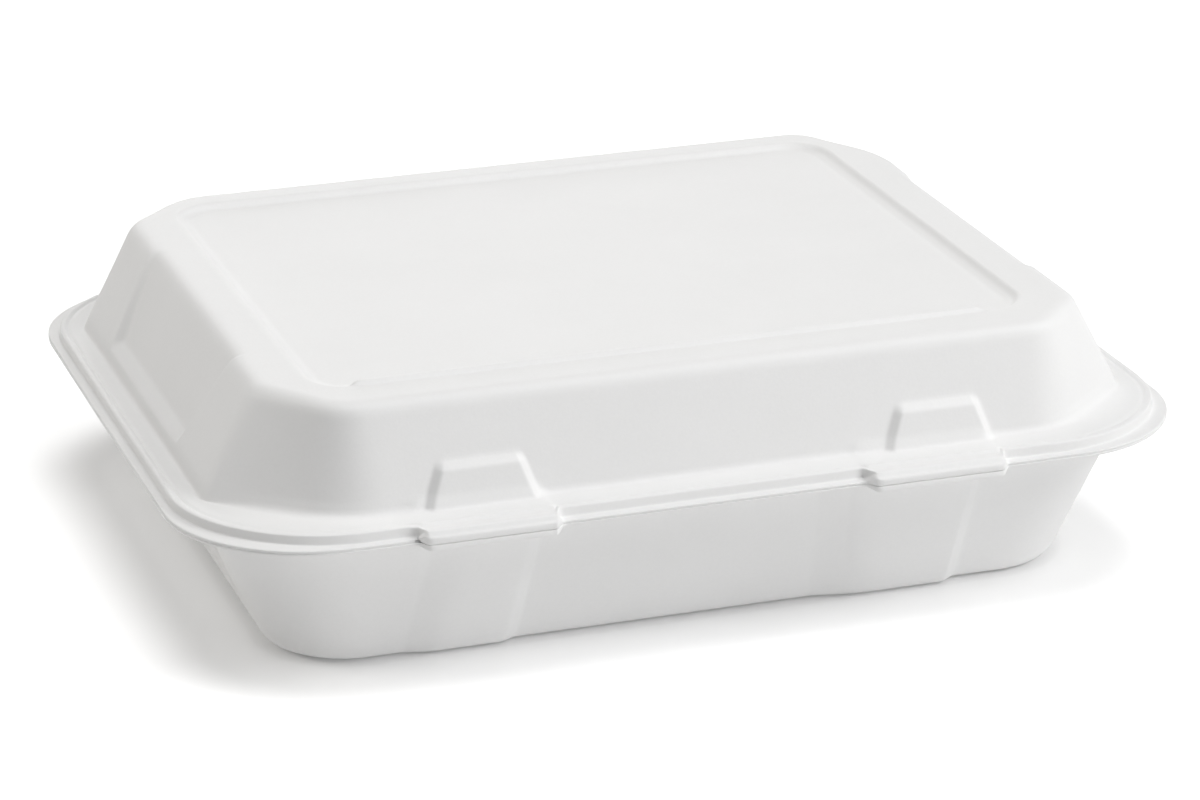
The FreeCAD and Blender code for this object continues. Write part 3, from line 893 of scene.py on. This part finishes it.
def step_node(tree, distance, start, end, first, last):
    """A smooth change from first to last while a distance goes from start to end, in millimetres."""
    step = tree.nodes.new("ShaderNodeMapRange")
    step.interpolation_type = "SMOOTHSTEP"
    step.inputs["From Min"].default_value = start * MM
    step.inputs["From Max"].default_value = end * MM
    step.inputs["To Min"].default_value = first
    step.inputs["To Max"].default_value = last
    tree.links.new(distance, step.inputs["Value"])
    return step.outputs["Result"]


def make_floor():
    """A wide white floor.

    Seen directly or in gloss it glows a little, and more away from the container, which paints a shadow
    round the foot.
    Near the foot it gives the container some soft light that isn't seen.
    """
    mesh = bpy.data.meshes.new("floor")
    corners = [(x * FLOOR_REACH, y * FLOOR_REACH, 0.0) for x, y in ((-1, -1), (1, -1), (1, 1), (-1, 1))]
    mesh.from_pydata(corners, [], [(0, 1, 2, 3)])
    floor = bpy.data.objects.new("floor", mesh)
    bpy.context.scene.collection.objects.link(floor)
    material = bpy.data.materials.new("studio floor")
    material.use_nodes = True
    tree = material.node_tree
    shader = tree.nodes["Principled BSDF"]
    shader.inputs["Base Color"].default_value = FLOOR_WHITE
    shader.inputs["Roughness"].default_value = 1.0
    shader.inputs["Specular IOR Level"].default_value = 0.0
    shader.inputs["Emission Strength"].default_value = 1.0
    away = tree.nodes.new("ShaderNodeGroup")
    away.node_tree = floor_distance()
    coordinates = tree.nodes.new("ShaderNodeTexCoord")
    tree.links.new(coordinates.outputs["Object"], away.inputs["Place"])
    distance = away.outputs["Distance"]
    # painted shadow: the seen glow starts from nothing at the foot and grows outwards, so the floor is
    # darker next to the container
    seen_glow_and_painted_shadow = 0.0
    for start, end, amount in FLOOR_GLOW_AND_PAINTED_SHADOW:
        seen_glow_and_painted_shadow = math_node(tree, "ADD", step_node(tree, distance, start, end, 0.0, amount), seen_glow_and_painted_shadow)
    bounce = step_node(tree, distance, *FLOOR_BOUNCE, 0.0)
    tree.links.new(by_ray(tree, seen_glow_and_painted_shadow, bounce), shader.inputs["Emission Color"])
    mesh.materials.append(material)
    return floor


def floor_distance():
    """Group: distance on the floor from the tray's round-cornered foot, in metres.

    The root of the squares of how far X and Y are beyond the straight parts of the
    foot, less the radius of its corners.
    """
    group, ends_in, ends_out = new_group(
        "distance from the foot", [("NodeSocketVector", "Place", None)], [("NodeSocketFloat", "Distance")]
    )
    split = group.nodes.new("ShaderNodeSeparateXYZ")
    group.links.new(ends_in.outputs["Place"], split.inputs[0])
    middle = 0.5 * (FLOOR_FRONT + FLOOR_BACK)
    squares = []
    for axis, centre, half in (("X", 0.0, FLOOR_END), ("Y", middle, FLOOR_BACK - middle)):
        offset = math_node(group, "SUBTRACT", split.outputs[axis], centre * MM)
        size = math_node(group, "ABSOLUTE", offset, 0.0)
        beyond = math_node(group, "SUBTRACT", size, (half - FLOOR_RADIUS) * MM)
        beyond = math_node(group, "MAXIMUM", beyond, 0.0)
        squares.append(math_node(group, "MULTIPLY", beyond, beyond))
    length = math_node(group, "SQRT", math_node(group, "ADD", squares[0], squares[1]), 0.0)
    group.links.new(math_node(group, "SUBTRACT", length, FLOOR_RADIUS * MM), ends_out.inputs["Distance"])
    return group


# -------------------------------------------------------------------- light

# half the side of the floor, in metres, and its colour
FLOOR_REACH = 4.0
FLOOR_WHITE = (0.93, 0.93, 0.93, 1.0)
# glow of the floor when seen, kept low near the foot as painted shadow: from and to a distance from the
# foot, and how much is added
FLOOR_GLOW_AND_PAINTED_SHADOW = ((0.0, 5.0, 0.09), (0.0, 12.0, 0.06), (12.0, 33.0, 0.33))
# light cast upwards near the foot: full up to a distance, none from another, and how much
FLOOR_BOUNCE = (16.0, 38.0, 0.15)
# strength of the sky as soft light, where 1 is what is seen
SKY = 0.055
# the point that lamps are aimed at, in metres
TARGET = Vector((0.0, 0.0, 0.03))
NEUTRAL = (1.0, 1.0, 1.0)
WARM = (1.0, 0.975, 0.93)
# name, place in metres, side in metres, power in watts, colour
LAMPS = (
    ("key", (1.06, -0.61, 1.06), 0.8, 11.0, NEUTRAL),
    ("front high", (0.24, -0.89, 1.34), 0.8, 3.6, NEUTRAL),
    ("overhead", (0.0, -0.06, 1.63), 1.0, 8.3, NEUTRAL),
    ("back low", (0.31, 1.73, 0.43), 0.8, 3.1, NEUTRAL),
    ("front right low", (0.88, -1.53, 0.28), 0.8, 5.5, NEUTRAL),
    ("back left", (-1.33, 0.62, 0.88), 0.8, 7.6, WARM),
)


def make_world():
    """An even pale sky: soft fill for the container, and plain white where it is seen."""
    world = bpy.data.worlds.new("studio")
    bpy.context.scene.world = world
    world.use_nodes = True
    tree = world.node_tree
    background = tree.nodes["Background"]
    background.inputs["Color"].default_value = (1.0, 1.0, 1.0, 1.0)
    tree.links.new(by_ray(tree, 1.0, SKY), background.inputs["Strength"])


def make_lamps():
    """Square soft lamps, each aimed at the middle of the container."""
    for name, place, side, power, colour in LAMPS:
        light = bpy.data.lights.new(name, "AREA")
        light.shape = "SQUARE"
        light.size = side
        light.energy = power
        light.color = colour
        lamp = bpy.data.objects.new(name, light)
        lamp.location = place
        lamp.rotation_euler = (TARGET - Vector(place)).to_track_quat("-Z", "Y").to_euler()
        bpy.context.scene.collection.objects.link(lamp)


# ------------------------------------------------------------------- camera

# which way the camera looks: from the front towards the right, down, and its tilt; then
# its distance and the point it looks at, in metres, and the lens in millimetres
AZIMUTH = math.radians(18.55)
ELEVATION = math.radians(20.33)
ROLL = math.radians(-0.34)
DISTANCE = 1.0
AIM = Vector((-0.0027, -0.0133, 0.0323))
LENS = 128.6
SENSOR = 36.0


def make_camera():
    """A long lens, in front and to the left, looking down on the container."""
    ahead = Vector((math.sin(AZIMUTH), math.cos(AZIMUTH), 0.0))
    view = ahead * math.cos(ELEVATION) - Vector((0.0, 0.0, math.sin(ELEVATION)))
    level = Vector((math.cos(AZIMUTH), -math.sin(AZIMUTH), 0.0))
    upright = level.cross(view)
    right = level * math.cos(ROLL) + upright * math.sin(ROLL)
    up = right.cross(view)
    data = bpy.data.cameras.new("camera")
    data.lens = LENS
    data.sensor_width = SENSOR
    camera = bpy.data.objects.new("camera", data)
    place = AIM - view * DISTANCE
    turn = Matrix((right, up, -view)).transposed().to_4x4()
    camera.matrix_world = Matrix.Translation(place) @ turn
    bpy.context.scene.collection.objects.link(camera)
    bpy.context.scene.camera = camera


# -------------------------------------------------------------------- build

lid = make_lid()
tray = make_tray()
crease = make_crease()
tray_pulp = pulp("tray pulp")
lid_pulp = pulp("lid pulp")
for piece, material, slot in (
    (lid, lid_pulp, "pulp_lid"),
    (tray, tray_pulp, "pulp_tray"),
    (crease, tray_pulp, "pulp_tray"),
):
    piece.data.materials.append(material)
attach(lid, "lid")
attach(tray, "base")
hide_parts("lid")
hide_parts("base_tray")
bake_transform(crease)

make_floor()
make_world()
make_lamps()
make_camera()
bpy.context.scene.view_settings.view_transform = "Standard"
